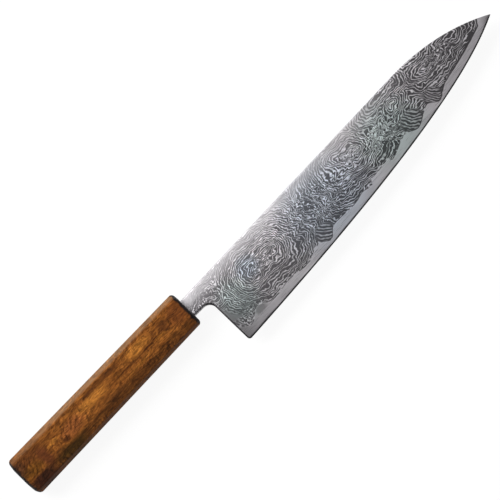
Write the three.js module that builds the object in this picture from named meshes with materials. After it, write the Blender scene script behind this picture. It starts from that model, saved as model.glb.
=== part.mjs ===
import * as THREE from "three";

// Chef's knife: a three-layer blade with a hidden tang, bedded in an octagonal wooden handle.
// Sizes are in millimetres. X runs along the handle to the tip, Y towards the spine, Z out of the right face.
// Modelling zero is the middle of the handle's front face.

// Blade outline
const BLADE_LENGTH = 240; // heel to tip
const HEEL_HEIGHT = 46.9; // edge to spine at the heel
const HEEL_RADIUS = 2;
const SPINE_AT_HANDLE = 5.4; // spine above the handle's axis at the handle face
const SPINE_SLOPE = 0.0092;
const SPINE_TIP_SLOPE = -0.6;
const DROP_LENGTH = 69; // curved part of the spine, measured back from the tip
const TIP_BELOW_AXIS = 10.3;
const EDGE_HEEL_SLOPE = 0.035;
const EDGE_TIP_SLOPE = 0.466;
const EDGE_HEEL_PULL = 0.6; // share of the blade length over which the heel end stays straight
const EDGE_TIP_PULL = 0.13; // the same for the tip end

// Neck and tang
const NECK_LENGTH = 12.4; // handle face to heel
const NECK_HEIGHT = 12.5;
const NECK_FLARE = 0.25; // growth of the neck from the handle to the choil
const CHOIL_RADIUS = 5.4;
const TANG_LENGTH = 95;
const TANG_END_HEIGHT = 6;
const TANG_END_BELOW_AXIS = 0.5;

// Taper and grind
const SPINE_THICKNESS = 3; // at the handle face
const TIP_THICKNESS = 0.8;
const TANG_END_THICKNESS = 2.4;
const EDGE_THICKNESS = 0.2; // of the ground faces where they would meet the edge
const GRIND_POWER = 1.7; // fullness of the convex grind
const BEVEL_HEIGHT = 0.7; // sharpened bevel
const BEVEL_MOST = 0.25; // its largest share of the blade's height, at the tip
const SPINE_EASE = 0.5; // width of the rubbed-down spine corner
const SPINE_EASE_LEFT = 0.65; // share of the cladding left at the corner

// Layers
const CORE_SHARE = 0.36; // core's share of the thickness at the spine
const CORE_FADE = 25; // length over which the core comes to fill the whole thickness at the tip
const BARE_TIP = 6.5; // length of plain core at the tip
const BARE_RISE = 4; // length over which the cladding line turns up to the spine there
// Weld line between the bare core and the cladding, wavy after forging: its crests and dips in turn,
// as place along the blade in shares of its length and height above the edge
const WELD_WAVES = [
  [0, 9.5], [0.033, 5], [0.074, 10], [0.115, 4.6], [0.17, 6], [0.238, 3.5], [0.288, 7.1],
  [0.318, 3.4], [0.355, 7.4], [0.43, 5], [0.458, 5.9], [0.484, 4.4], [0.51, 6.4], [0.572, 4.8],
  [0.634, 7.2], [0.67, 3.5], [0.727, 6.9], [0.756, 2.7], [0.8, 5], [1, 4.3],
];

// Handle
const HANDLE_LENGTH = 141.4;
const BUTT_HEIGHT = 25.9;
const BUTT_THICKNESS = 21;
const FRONT_HEIGHT = 23.6;
const FRONT_THICKNESS = 19.3;
const FACET_OF_HEIGHT = 0.185; // corner facet's share of the height
const FACET_OF_THICKNESS = 0.235; // and of the thickness
const BUTT_ROUND = 3; // rounded edge of the butt end
const FRONT_ROUND = 2.2;
const ROUND_MIDDLE = 0.3; // how far in the middle of a rounded edge lies, as a share of its size
const BEDDING = 0.8; // adhesive round the tang
const SOCKET_SPARE = 5; // adhesive behind the tang's end
const SOCKET_STEPS = 4; // facets in a quarter turn of the socket

const heelX = NECK_LENGTH;
const tipX = heelX + BLADE_LENGTH;
const bareX = tipX - BARE_TIP;
const mix = THREE.MathUtils.lerp;

// Spine: a straight back that drops to the tip in one curve, whose control point is where its tangents meet
const spineLine = (x) => SPINE_AT_HANDLE + SPINE_SLOPE * x;
const dropX = tipX - DROP_LENGTH;
const tipLineAtHandle = -TIP_BELOW_AXIS - SPINE_TIP_SLOPE * tipX;
const cornerX = (tipLineAtHandle - SPINE_AT_HANDLE) / (SPINE_SLOPE - SPINE_TIP_SLOPE);
const tip = new THREE.Vector2(tipX, -TIP_BELOW_AXIS);
const spineDrop = new THREE.QuadraticBezierCurve(
  new THREE.Vector2(dropX, spineLine(dropX)),
  new THREE.Vector2(cornerX, spineLine(cornerX)),
  tip,
);

// Edge: one curve, nearly straight from the heel and turning up to the tip
const heel = new THREE.Vector2(heelX, spineLine(heelX) - HEEL_HEIGHT);
const heelPull = EDGE_HEEL_PULL * BLADE_LENGTH;
const tipPull = EDGE_TIP_PULL * BLADE_LENGTH;
const edgeCurve = new THREE.CubicBezierCurve(
  heel,
  new THREE.Vector2(heel.x + heelPull, heel.y + heelPull * EDGE_HEEL_SLOPE),
  new THREE.Vector2(tip.x - tipPull, tip.y - tipPull * EDGE_TIP_SLOPE),
  tip,
);

// Height of a curve that runs along X, found by halving
function heightAt(curve, x) {
  let low = 0;
  let high = 1;
  for (let i = 0; i < 40; i++) {
    const middle = (low + high) / 2;
    if (curve.getPoint(middle).x < x) low = middle;
    else high = middle;
  }
  return curve.getPoint(high).y;
}

const tangEndTop = TANG_END_HEIGHT / 2 - TANG_END_BELOW_AXIS;
const neckBottom = SPINE_AT_HANDLE - NECK_HEIGHT;
const choilX = heelX - CHOIL_RADIUS;
const choilTop = neckBottom - NECK_FLARE;
const choilEnd = choilTop - CHOIL_RADIUS;
// The grind starts level with the end of the choil
const grindShare = (choilEnd - heel.y) / HEEL_HEIGHT;

function spineY(x) {
  if (x < 0) return mix(SPINE_AT_HANDLE, tangEndTop, -x / TANG_LENGTH);
  return x <= dropX ? spineLine(x) : heightAt(spineDrop, x);
}

const edgeY = (x) => heightAt(edgeCurve, x);

// Underside of the tang, the neck and the choil's quarter round
function neckY(x) {
  if (x < 0) return mix(neckBottom, tangEndTop - TANG_END_HEIGHT, -x / TANG_LENGTH);
  if (x < choilX) return mix(neckBottom, choilTop, x / choilX);
  return choilEnd + Math.sqrt(Math.max(0, CHOIL_RADIUS ** 2 - (x - choilX) ** 2));
}

// Half thickness at the spine
function spineHalf(x) {
  if (x < 0) return mix(SPINE_THICKNESS, TANG_END_THICKNESS, -x / TANG_LENGTH) / 2;
  return mix(SPINE_THICKNESS, TIP_THICKNESS, x / tipX) / 2;
}

// Half thickness of the ground blade: convex from the edge to the grind line, flat above it
function groundHalf(x, y) {
  const edge = edgeY(x);
  const grind = grindShare * (spineY(x) - edge);
  const t = THREE.MathUtils.clamp((y - edge) / grind, 0, 1);
  return mix(EDGE_THICKNESS / 2, spineHalf(x), 1 - (1 - t) ** GRIND_POWER);
}

// Half thickness of the core at the spine
function coreHalf(x) {
  const fade = THREE.MathUtils.smoothstep(x, bareX - CORE_FADE, bareX);
  return spineHalf(x) * mix(CORE_SHARE, 1, fade);
}

// Height of the bare core above the edge: a smooth swing from each wave to the next
function bareBand(x) {
  const along = (x - heelX) / BLADE_LENGTH;
  const next = Math.max(1, WELD_WAVES.findIndex(([place]) => place >= along));
  const [fromPlace, from] = WELD_WAVES[next - 1];
  const [toPlace, to] = WELD_WAVES[next];
  return mix(from, to, THREE.MathUtils.smoothstep(along, fromPlace, toPlace));
}

// Line where the cladding is ground away
function claddingY(x) {
  const rise = THREE.MathUtils.smoothstep(x, bareX - BARE_RISE, bareX);
  return mix(edgeY(x) + bareBand(x), spineY(x), rise);
}

// Rows of a column of the blade net, from the edge up
const LINE_ROW = 2; // cladding line
const LEAST_GRIND = 0.3; // least share of the cladding's height that the ground rows take, near the tip
const GRIND_ROW = 5; // grind line, and the underside of the neck and tang

const netPoint = (x, y, outer, inner) => ({ x, y, outer, inner });

// A column of the tang and neck, which has only the upper rows
function neckColumn(x) {
  const top = spineY(x);
  const low = neckY(x);
  const half = spineHalf(x);
  const ease = (SPINE_EASE * Math.max(0, x)) / heelX;
  const left = mix(1, SPINE_EASE_LEFT, Math.max(0, x) / heelX);
  const core = coreHalf(x);
  const column = new Array(GRIND_ROW).fill(null);
  column.push(netPoint(x, low, half, core));
  column.push(netPoint(x, (low + top) / 2, half, core));
  column.push(netPoint(x, top - ease, half, core));
  column.push(netPoint(x, top, mix(core, half, left), core));
  return column;
}

// A column of the blade, from the edge to the spine
function bladeColumn(x) {
  const top = spineY(x);
  const edge = edgeY(x);
  const round = Math.max(0, HEEL_RADIUS - (x - heelX));
  const low = edge + HEEL_RADIUS - Math.sqrt(HEEL_RADIUS ** 2 - round ** 2);
  if (x >= tipX) return new Array(GRIND_ROW + 4).fill(netPoint(x, top, 0, 0));
  const line = x >= bareX ? top : claddingY(x);
  const core = coreHalf(x);
  const lineHalf = groundHalf(x, line);
  const bevel = Math.min(BEVEL_HEIGHT, BEVEL_MOST * (top - low));
  const column = [netPoint(x, low, 0, 0)];
  const shoulder = groundHalf(x, low + bevel);
  column.push(netPoint(x, low + bevel, shoulder, shoulder));
  const span = top - line;
  const grind = span > 0 ? Math.max(LEAST_GRIND, (edge + grindShare * (top - edge) - line) / span) : 1;
  const ease = span > 0 ? Math.min(SPINE_EASE / span, (1 - grind) / 3) : 0;
  for (const share of [0, grind / 4, grind / 2, grind, (1 + grind) / 2, 1 - ease, 1]) {
    const y = mix(line, top, share);
    const ground = groundHalf(x, y);
    const inner = x >= bareX ? ground : mix(lineHalf, core, share);
    const outer = share === 1 ? mix(inner, ground, SPINE_EASE_LEFT) : ground;
    column.push(netPoint(x, y, outer, inner));
  }
  return column;
}

// Closed solid between two heights over the net; walls go up wherever a cell has no neighbour
function netSolid(columns, firstRow, top, bottom) {
  const corners = [];
  const sides = new Map();
  const name = (i, j) => i + " " + j;
  const place = (i, j, height) => {
    const p = columns[i][j];
    return new THREE.Vector3(p.x, p.y, height(p, j));
  };
  const triangle = (a, b, c) => {
    if (a.equals(b) || b.equals(c) || c.equals(a)) return;
    corners.push(a, b, c);
  };
  for (let i = 0; i + 1 < columns.length; i++) {
    for (let j = firstRow; j + 1 < columns[i].length; j++) {
      const cell = [[i, j], [i + 1, j], [i + 1, j + 1], [i, j + 1]];
      if (cell.some(([c, r]) => !columns[c][r])) continue;
      const [ta, tb, tc, td] = cell.map(([c, r]) => place(c, r, top));
      const [ba, bb, bc, bd] = cell.map(([c, r]) => place(c, r, bottom));
      triangle(ta, tb, tc);
      triangle(ta, tc, td);
      triangle(ba, bc, bb);
      triangle(ba, bd, bc);
      cell.forEach((from, k) => {
        const to = cell[(k + 1) % 4];
        const back = name(...to) + " " + name(...from);
        if (sides.has(back)) sides.delete(back);
        else sides.set(name(...from) + " " + name(...to), [from, to]);
      });
    }
  }
  for (const [from, to] of sides.values()) {
    const low = [place(...from, bottom), place(...to, bottom)];
    const high = [place(...from, top), place(...to, top)];
    triangle(low[0], low[1], high[1]);
    triangle(low[0], high[1], high[0]);
  }
  return new THREE.BufferGeometry().setFromPoints(corners);
}

// Closed cup whose mouth faces +X: rings of the outer skin and of the inner skin, each from the closed end
function cupSolid(outerRings, innerRings) {
  const corners = [];
  const skin = (rings, inward) => {
    for (let k = 0; k + 1 < rings.length; k++) {
      rings[k].forEach((a, i) => {
        const next = (i + 1) % rings[k].length;
        const b = rings[k][next];
        const c = rings[k + 1][next];
        const d = rings[k + 1][i];
        corners.push(...(inward ? [a, c, b, a, d, c] : [a, b, c, a, c, d]));
      });
    }
  };
  const flat = (ring) => ring.map((p) => new THREE.Vector2(p.y, p.z));
  const cap = (ring, hole, reversed) => {
    const points = [...ring, ...hole];
    for (const [a, b, c] of THREE.ShapeUtils.triangulateShape(flat(ring), hole.length ? [flat(hole)] : [])) {
      corners.push(points[a], points[reversed ? c : b], points[reversed ? b : c]);
    }
  };
  skin(outerRings, false);
  skin(innerRings, true);
  cap(outerRings[0], [], true);
  cap(innerRings[0], [], false);
  cap(outerRings.at(-1), innerRings.at(-1), false);
  return new THREE.BufferGeometry().setFromPoints(corners);
}

// Octagonal section of the handle
function handleRing(x, inset) {
  const along = -x / HANDLE_LENGTH;
  const height = mix(FRONT_HEIGHT, BUTT_HEIGHT, along);
  const thickness = mix(FRONT_THICKNESS, BUTT_THICKNESS, along);
  const y = height / 2 - inset;
  const z = thickness / 2 - inset;
  const yFlat = y - FACET_OF_HEIGHT * height;
  const zFlat = z - FACET_OF_THICKNESS * thickness;
  const corners = [
    [y, -zFlat], [y, zFlat], [yFlat, z], [-yFlat, z],
    [-y, zFlat], [-y, -zFlat], [-yFlat, -z], [yFlat, -z],
  ];
  return corners.map(([cy, cz]) => new THREE.Vector3(x, cy, cz));
}

// Outline of the tang
function tangRing(x) {
  const half = spineHalf(x);
  const corners = [[neckY(x), -half], [spineY(x), -half], [spineY(x), half], [neckY(x), half]];
  return corners.map(([cy, cz]) => new THREE.Vector3(x, cy, cz));
}

// Round-ended slot that leaves room for the adhesive round the tang section at tangX
function socketRing(x, tangX) {
  const radius = spineHalf(tangX) + BEDDING;
  const ends = [spineY(tangX) + BEDDING - radius, neckY(tangX) - BEDDING + radius];
  const ring = [];
  ends.forEach((y, end) => {
    for (let k = -SOCKET_STEPS; k <= SOCKET_STEPS; k++) {
      const angle = (k / SOCKET_STEPS) * (Math.PI / 2) + end * Math.PI;
      ring.push(new THREE.Vector3(x, y + radius * Math.cos(angle), radius * Math.sin(angle)));
    }
  });
  return ring;
}

// Columns of the blade net: tang, neck and choil, rounded heel, waves of the cladding line, tip
const CHOIL_STEPS = 6;
const HEEL_STEPS = 3;
const BLADE_STEPS = 80;
const LEAST_STEP = 1.2; // closest two columns of the blade
const neckXs = [-TANG_LENGTH, 0];
for (let k = 0; k < CHOIL_STEPS; k++) {
  neckXs.push(choilX + CHOIL_RADIUS * Math.sin((k / CHOIL_STEPS) * (Math.PI / 2)));
}
const heelXs = [];
for (let k = 0; k <= HEEL_STEPS; k++) {
  heelXs.push(heelX + HEEL_RADIUS * (1 - Math.cos((k / HEEL_STEPS) * (Math.PI / 2))));
}
const tipXs = [1, 0.5, 0.25].map((share) => bareX - share * BARE_RISE);
tipXs.push(...[0, 0.45, 0.85, 1].map((share) => mix(bareX, tipX, share)));
const wanted = WELD_WAVES.map(([place]) => heelX + place * BLADE_LENGTH);
for (let k = 1; k < BLADE_STEPS; k++) wanted.push(mix(heelX, tipX, k / BLADE_STEPS));
wanted.sort((a, b) => a - b);
const bladeXs = [...heelXs];
for (const x of wanted) {
  if (x > bladeXs.at(-1) + LEAST_STEP && x < tipXs[0] - LEAST_STEP) bladeXs.push(x);
}
bladeXs.push(...tipXs);

const columns = [...neckXs.map(neckColumn), ...bladeXs.map(bladeColumn)];
const cladColumns = columns.filter((column) => column[GRIND_ROW].x <= bareX);

const root = new THREE.Group();
root.name = "chef_knife";

function add(name, geometry, color, roughness, metalness) {
  geometry.computeVertexNormals();
  const mesh = new THREE.Mesh(geometry, new THREE.MeshStandardMaterial({ color, roughness, metalness }));
  mesh.name = name;
  root.add(mesh);
  return mesh;
}

// Core steel: bare at the edge and the tip, between the claddings elsewhere
add("core_steel", netSolid(columns, 0, (p) => p.inner, (p) => -p.inner), 0x9a9da0, 0.35, 1);

// Claddings: the right one as built, the left one its mirror image
const claddingHeights = [LINE_ROW, (p) => p.outer, (p) => p.inner];
add("right_cladding", netSolid(cladColumns, ...claddingHeights), 0x6f7476, 0.4, 1);
add("left_cladding", netSolid(cladColumns, ...claddingHeights), 0x6f7476, 0.4, 1).scale.z = -1;

// Adhesive: fills the socket round the tang
const socketRings = [socketRing(-TANG_LENGTH - SOCKET_SPARE, -TANG_LENGTH), socketRing(0, 0)];
const tangRings = [tangRing(-TANG_LENGTH), tangRing(0)];
add("tang_bedding", cupSolid(socketRings, tangRings), 0x2a2018, 0.5, 0);

// Handle: eight facets, rounded ends, blind socket
const roundSteps = [[0, 1], [ROUND_MIDDLE, ROUND_MIDDLE], [1, 0]];
const buttRings = roundSteps.map(([along, inset]) => {
  return handleRing(-HANDLE_LENGTH + along * BUTT_ROUND, inset * BUTT_ROUND);
});
const frontRings = roundSteps.map(([along, inset]) => handleRing(-along * FRONT_ROUND, inset * FRONT_ROUND));
add("handle", cupSolid([...buttRings, ...frontRings.reverse()], socketRings), 0x7a4a20, 0.45, 0);

// The origin is below the middle of the bounding box, on the lowest facet
const box = new THREE.Box3().setFromObject(root);
const middle = box.getCenter(new THREE.Vector3());
root.position.set(-middle.x, -middle.y, -box.min.z);

export default root;
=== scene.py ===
import math

import bmesh
import bpy
from mathutils import Matrix, Vector


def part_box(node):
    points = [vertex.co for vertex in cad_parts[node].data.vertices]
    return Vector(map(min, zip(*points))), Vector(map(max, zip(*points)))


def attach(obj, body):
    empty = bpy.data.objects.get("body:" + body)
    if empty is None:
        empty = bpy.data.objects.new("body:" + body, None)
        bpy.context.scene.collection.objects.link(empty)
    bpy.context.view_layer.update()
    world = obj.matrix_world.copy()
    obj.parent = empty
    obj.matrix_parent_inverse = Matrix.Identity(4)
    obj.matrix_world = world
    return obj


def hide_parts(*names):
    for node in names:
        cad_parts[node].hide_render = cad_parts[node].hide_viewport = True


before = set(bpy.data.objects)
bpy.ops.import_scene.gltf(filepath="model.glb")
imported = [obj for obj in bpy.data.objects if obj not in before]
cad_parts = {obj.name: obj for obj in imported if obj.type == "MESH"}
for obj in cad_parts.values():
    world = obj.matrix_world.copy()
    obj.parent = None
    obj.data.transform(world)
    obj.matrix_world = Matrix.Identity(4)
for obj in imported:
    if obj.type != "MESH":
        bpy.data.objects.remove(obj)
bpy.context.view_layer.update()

# Core steel
# The hard middle layer of the forge-welded blade. It runs from the tang to the tip and is ground bare
# along the edge, where it takes the sharpened bevel; satin finish from fine stones.

# Places and sizes are in millimetres, counted from the middle of the handle's front face
MM = 0.001
handle_low, handle_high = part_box("handle")
FRONT_X = handle_high[0]
AXIS_Y = (handle_low[1] + handle_high[1]) / 2
MIDDLE_Z = (handle_low[2] + handle_high[2]) / 2

# Outline of the blade
BLADE_LENGTH = 240
HEEL_HEIGHT = 46.9
HEEL_RADIUS = 2
SPINE_AT_HANDLE = 5.4
SPINE_SLOPE = 0.0092
SPINE_TIP_SLOPE = -0.6
DROP_LENGTH = 69
TIP_Y = -10.3
EDGE_HEEL_SLOPE = 0.035
EDGE_TIP_SLOPE = 0.466
EDGE_HEEL_PULL = 0.6 * BLADE_LENGTH
EDGE_TIP_PULL = 0.13 * BLADE_LENGTH

# Neck, choil and tang
NECK_LENGTH = 12.4
NECK_HEIGHT = 12.5
NECK_FLARE = 0.25
CHOIL_RADIUS = 5.4
TANG_LENGTH = 95
TANG_END_TOP = 2.5
TANG_END_BOTTOM = -3.5

# Thickness, grind and rubbed edges
SPINE_THICKNESS = 3
TIP_THICKNESS = 0.8
TANG_END_THICKNESS = 2.4
EDGE_THICKNESS = 0.2
GRIND_POWER = 1.7
GRIND_LEAST_SHARE = 0.3
BEVEL_HEIGHT = 0.7
BEVEL_MOST_SHARE = 0.25
RIM_WIDTH = 1.3
NECK_RIM_WIDTH = 0.7
RIM_CUT = 0.5
RIM_START = 2

# Share of the core in the thickness, and where the cladding ends before the tip
CORE_SHARE = 0.36
CORE_SHARE_AT_TIP = 0.96
CORE_FADE = 25
BARE_TIP = 6.5
BARE_RISE = 4

# Weld line, wavy after forging: its crests and dips, as share of the blade's length and height above the edge
WELD_WAVES = [
    (0, 9.5), (0.033, 5), (0.074, 10), (0.115, 4.6), (0.17, 6), (0.238, 3.5), (0.29, 6.4),
    (0.321, 2.2), (0.351, 6.8), (0.43, 5), (0.458, 5.9), (0.488, 3.9), (0.496, 6.4), (0.56, 6.4),
    (0.568, 3.9), (0.634, 7.2), (0.672, 2.8), (0.727, 6.9), (0.758, 1.7), (0.8, 5), (1, 4.3)]

# Places that follow from these sizes
HEEL_X = NECK_LENGTH
TIP_X = HEEL_X + BLADE_LENGTH
BARE_X = TIP_X - BARE_TIP
DROP_X = TIP_X - DROP_LENGTH
CHOIL_X = HEEL_X - CHOIL_RADIUS
NECK_BOTTOM = SPINE_AT_HANDLE - NECK_HEIGHT
CHOIL_TOP = NECK_BOTTOM - NECK_FLARE
CHOIL_END = CHOIL_TOP - CHOIL_RADIUS
HEEL_Y = SPINE_AT_HANDLE + SPINE_SLOPE * HEEL_X - HEEL_HEIGHT
GRIND_SHARE = (CHOIL_END - HEEL_Y) / HEEL_HEIGHT


def mix(a, b, share):
    return a + (b - a) * share


def smooth(x, low, high):
    share = min(1, max(0, (x - low) / (high - low)))
    return share * share * (3 - 2 * share)


def spread(low, high, count):
    """Even steps from low, without the last one at high."""
    return [mix(low, high, k / count) for k in range(count)]


def place(x, y, z):
    """Takes a point of the knife, in millimetres, to its place in the frame, in metres."""
    return Vector((FRONT_X + x * MM, AXIS_Y + y * MM, MIDDLE_Z + z * MM))


HALVINGS = 40


def curve_height(points, x):
    """Height at x of a Bezier curve that runs along X, found by halving its range."""
    low, high = 0.0, 1.0
    for _ in range(HALVINGS):
        t = (low + high) / 2
        work = points
        while len(work) > 1:
            work = [(mix(a[0], b[0], t), mix(a[1], b[1], t)) for a, b in zip(work, work[1:])]
        if work[0][0] < x:
            low = t
        else:
            high = t
    return work[0][1]


def spine_line(x):
    return SPINE_AT_HANDLE + SPINE_SLOPE * x


corner_x = (TIP_Y - SPINE_TIP_SLOPE * TIP_X - SPINE_AT_HANDLE) / (SPINE_SLOPE - SPINE_TIP_SLOPE)
spine_drop = [(DROP_X, spine_line(DROP_X)), (corner_x, spine_line(corner_x)), (TIP_X, TIP_Y)]
edge_curve = [(HEEL_X, HEEL_Y), (HEEL_X + EDGE_HEEL_PULL, HEEL_Y + EDGE_HEEL_PULL * EDGE_HEEL_SLOPE),
              (TIP_X - EDGE_TIP_PULL, TIP_Y - EDGE_TIP_PULL * EDGE_TIP_SLOPE), (TIP_X, TIP_Y)]


def weld_height(along):
    """Height of the weld line above the edge, at a share of the blade's length."""
    for (from_at, from_height), (to_at, to_height) in zip(WELD_WAVES, WELD_WAVES[1:]):
        if along <= to_at:
            return mix(from_height, to_height, smooth(along, from_at, to_at))


class Column:
    """The blade's section at x: heights of edge, weld line, grind line and spine, and half thicknesses."""

    def __init__(self, x):
        self.x = x
        self.neck = x < HEEL_X
        self.lay_spine(x)
        if self.neck:
            self.lay_neck(x)
        else:
            self.lay_edge(x)

    def lay_spine(self, x):
        """Spine and thickness, which taper to the tip and to the end of the tang."""
        if x < 0:
            self.spine = mix(SPINE_AT_HANDLE, TANG_END_TOP, -x / TANG_LENGTH)
            self.half = mix(SPINE_THICKNESS, TANG_END_THICKNESS, -x / TANG_LENGTH) / 2
        else:
            self.spine = spine_line(x) if x <= DROP_X else curve_height(spine_drop, x)
            self.half = mix(SPINE_THICKNESS, TIP_THICKNESS, x / TIP_X) / 2
        self.core = self.half * mix(CORE_SHARE, CORE_SHARE_AT_TIP, smooth(x, BARE_X - CORE_FADE, BARE_X))

    def lay_neck(self, x):
        """Lower line of the tang, neck and choil."""
        if x < 0:
            self.low = mix(NECK_BOTTOM, TANG_END_BOTTOM, -x / TANG_LENGTH)
        elif x < CHOIL_X:
            self.low = mix(NECK_BOTTOM, CHOIL_TOP, x / CHOIL_X)
        else:
            self.low = CHOIL_END + math.sqrt(max(0, CHOIL_RADIUS ** 2 - (x - CHOIL_X) ** 2))
        self.grind = self.low

    def lay_edge(self, x):
        """Edge with its rounded heel, weld line and grind line."""
        self.edge = curve_height(edge_curve, x) if x < TIP_X else TIP_Y
        corner = max(0, HEEL_RADIUS - (x - HEEL_X))
        self.low = self.edge + HEEL_RADIUS - math.sqrt(HEEL_RADIUS ** 2 - corner ** 2)
        weld = self.edge + weld_height(min(1, (x - HEEL_X) / BLADE_LENGTH))
        self.line = mix(weld, self.spine, smooth(x, BARE_X - BARE_RISE, BARE_X))
        ground_to = self.edge + GRIND_SHARE * (self.spine - self.edge)
        self.grind = max(ground_to, mix(self.line, self.spine, GRIND_LEAST_SHARE))
        self.line_half = self.ground(self.line)

    def ground(self, y):
        """Half thickness of the ground blade at height y."""
        if self.neck:
            return self.half
        if self.x >= TIP_X:
            return 0
        share = (y - self.edge) / (GRIND_SHARE * (self.spine - self.edge))
        share = min(1, max(0, share))
        return mix(EDGE_THICKNESS / 2, self.half, 1 - (1 - share) ** GRIND_POWER)

    def inner(self, y):
        """Half thickness of the core under the cladding."""
        if self.neck:
            return self.core
        if self.x >= BARE_X:
            return self.ground(y)
        return mix(self.line_half, self.core, (y - self.line) / (self.spine - self.line))

    def rubbed(self, y):
        """How far the rim of the neck, choil or heel is rubbed down here: one at the rim, nothing inside."""
        if self.x < CHOIL_X:
            away = y - self.low
        elif y < CHOIL_END:
            away = self.x - HEEL_X
        else:
            away = math.hypot(self.x - CHOIL_X, y - CHOIL_END) - CHOIL_RADIUS
        width = mix(NECK_RIM_WIDTH, RIM_WIDTH, smooth(self.x, CHOIL_X, HEEL_X))
        return max(0, 1 - away / width) * smooth(self.x, 0, RIM_START)


NECK_STEPS = 6
CHOIL_STEPS = 16
HEEL_STEPS = 6
BLADE_STEPS = 236
RISE_STEPS = 12
TIP_STEPS = 12
QUARTER_TURN = math.pi / 2

neck_xs = [-TANG_LENGTH] + spread(0, CHOIL_X, NECK_STEPS)
neck_xs += [CHOIL_X + CHOIL_RADIUS * math.sin(turn) for turn in spread(0, QUARTER_TURN, CHOIL_STEPS)]
blade_xs = [HEEL_X + HEEL_RADIUS * (1 - math.cos(turn)) for turn in spread(0, QUARTER_TURN, HEEL_STEPS)]
blade_xs += spread(HEEL_X + HEEL_RADIUS, BARE_X - BARE_RISE, BLADE_STEPS)
blade_xs += spread(BARE_X - BARE_RISE, BARE_X, RISE_STEPS)
bare_xs = spread(BARE_X, TIP_X, TIP_STEPS) + [TIP_X]
blade_columns = [Column(x) for x in blade_xs]
bare_columns = [Column(x) for x in bare_xs]
heel_column = blade_columns[0]
neck_columns = [Column(x) for x in neck_xs] + [heel_column]


def start_net():
    """An empty mesh with the marks of a net: upper half thickness, height above the weld line, and the rim
    mark that sets the rim's painted reflection.
    """
    bm = bmesh.new()
    for name in ("upper", "above", "rim"):
        bm.verts.layers.float.new(name)
    return bm


def net(bm, columns, rows, at):
    """Lays a grid over columns and rows; at(column, row) gives height, lower half thickness and marks."""
    made = bmesh.ops.create_grid(bm, x_segments=len(columns) - 1, y_segments=len(rows) - 1, size=1)
    for vert in made["verts"]:
        column = columns[round((vert.co.x + 1) / 2 * (len(columns) - 1))]
        y, lower, marks = at(column, rows[round((vert.co.y + 1) / 2 * (len(rows) - 1))])
        vert.co = place(column.x, y, lower)
        for name, value in marks.items():
            vert[bm.verts.layers.float[name]] = value


MERGE_DISTANCE = 1e-7
LEAST_EDGE = 1e-8


def thicken(bm):
    """Closes the sheet into a solid: the copy that is extruded goes up to the upper half thickness."""
    bmesh.ops.remove_doubles(bm, verts=bm.verts[:], dist=MERGE_DISTANCE)
    made = bmesh.ops.extrude_face_region(bm, geom=bm.faces[:])
    for vert in made["geom"]:
        if isinstance(vert, bmesh.types.BMVert):
            vert.co.z = MIDDLE_Z + vert[bm.verts.layers.float["upper"]] * MM
    bmesh.ops.remove_doubles(bm, verts=bm.verts[:], dist=MERGE_DISTANCE)
    bmesh.ops.dissolve_degenerate(bm, dist=LEAST_EDGE, edges=bm.edges[:])
    bmesh.ops.recalc_face_normals(bm, faces=bm.faces[:])


def finish_mesh(bm, name, crease_degrees):
    """Makes the object: smooth faces, with hard edges where the faces turn by more than the crease."""
    for face in bm.faces:
        face.smooth = True
    for edge in bm.edges:
        if len(edge.link_faces) == 2 and edge.calc_face_angle(0) > math.radians(crease_degrees):
            edge.smooth = False
    mesh = bpy.data.meshes.new(name)
    bm.to_mesh(mesh)
    bm.free()
    piece = bpy.data.objects.new(name, mesh)
    bpy.context.collection.objects.link(piece)
    return piece


WELD_ROW = 7
GRIND_ROW = WELD_ROW + 1
SPINE_ROW = WELD_ROW + 2
# Least shares of the painted rim reflection on the edge row and on the bevel's shoulder row
EDGE_RIMS = (1, 0.4)


def core_height(column, row):
    """Height of a row: 0 edge, 1 bevel shoulder, then up to the weld line, grind line and spine."""
    if row == 0:
        return column.low
    if row == GRIND_ROW:
        return column.grind
    if row == SPINE_ROW:
        return column.spine
    shoulder = column.low + min(BEVEL_HEIGHT, BEVEL_MOST_SHARE * (column.spine - column.low))
    return mix(shoulder, column.line, (row - 1) / (WELD_ROW - 1))


def core_row(column, row):
    """A point of the core's lower face, ground bare up to the weld line and covered above it."""
    y = core_height(column, row)
    if row >= WELD_ROW:
        half, rim = column.inner(y), 0
    else:
        rim = column.rubbed(y)
        half = column.ground(y) * (1 - RIM_CUT * rim) if row else 0
    # The edge and the bevel's shoulder take at least these shares of the painted rim reflection
    if row < len(EDGE_RIMS):
        rim = max(rim, EDGE_RIMS[row])
    return y, -half, {"upper": half, "rim": rim}


bm = start_net()
net(bm, blade_columns + bare_columns, range(SPINE_ROW + 1), core_row)
net(bm, neck_columns, range(GRIND_ROW, SPINE_ROW + 1), core_row)
thicken(bm)
core = finish_mesh(bm, "core_steel_bar", crease_degrees=3)


def add(tree, kind, inputs=(), **settings):
    """Adds a shader node; an input is a value or another node's output."""
    made = tree.nodes.new("ShaderNode" + kind)
    for key, value in settings.items():
        setattr(made, key, value)
    for key, value in dict(inputs).items():
        if isinstance(value, bpy.types.NodeSocket):
            tree.links.new(value, made.inputs[key])
        else:
            made.inputs[key].default_value = value
    return made


def calc(tree, operation, a, b=0.0, c=0.0):
    return add(tree, "Math", {0: a, 1: b, 2: c}, operation=operation).outputs[0]


def vector_calc(tree, operation, a, b=(0, 0, 0)):
    return add(tree, "VectorMath", {0: a, 1: b}, operation=operation).outputs[0]


def scaled(tree, vector, factor):
    return add(tree, "VectorMath", {0: vector, 3: factor}, operation="SCALE").outputs[0]


def length_of(tree, vector):
    return add(tree, "VectorMath", {0: vector}, operation="LENGTH").outputs["Value"]


def split(tree, at):
    return add(tree, "SeparateXYZ", {0: at}).outputs


def blend(tree, factor, a, b):
    """Goes from one colour to another."""
    return add(tree, "Mix", {0: factor, 6: a, 7: b}, data_type="RGBA").outputs[2]


def between(tree, factor, a, b):
    """Goes from one number to another."""
    return add(tree, "Mix", {0: factor, 2: a, 3: b}).outputs[0]


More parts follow.
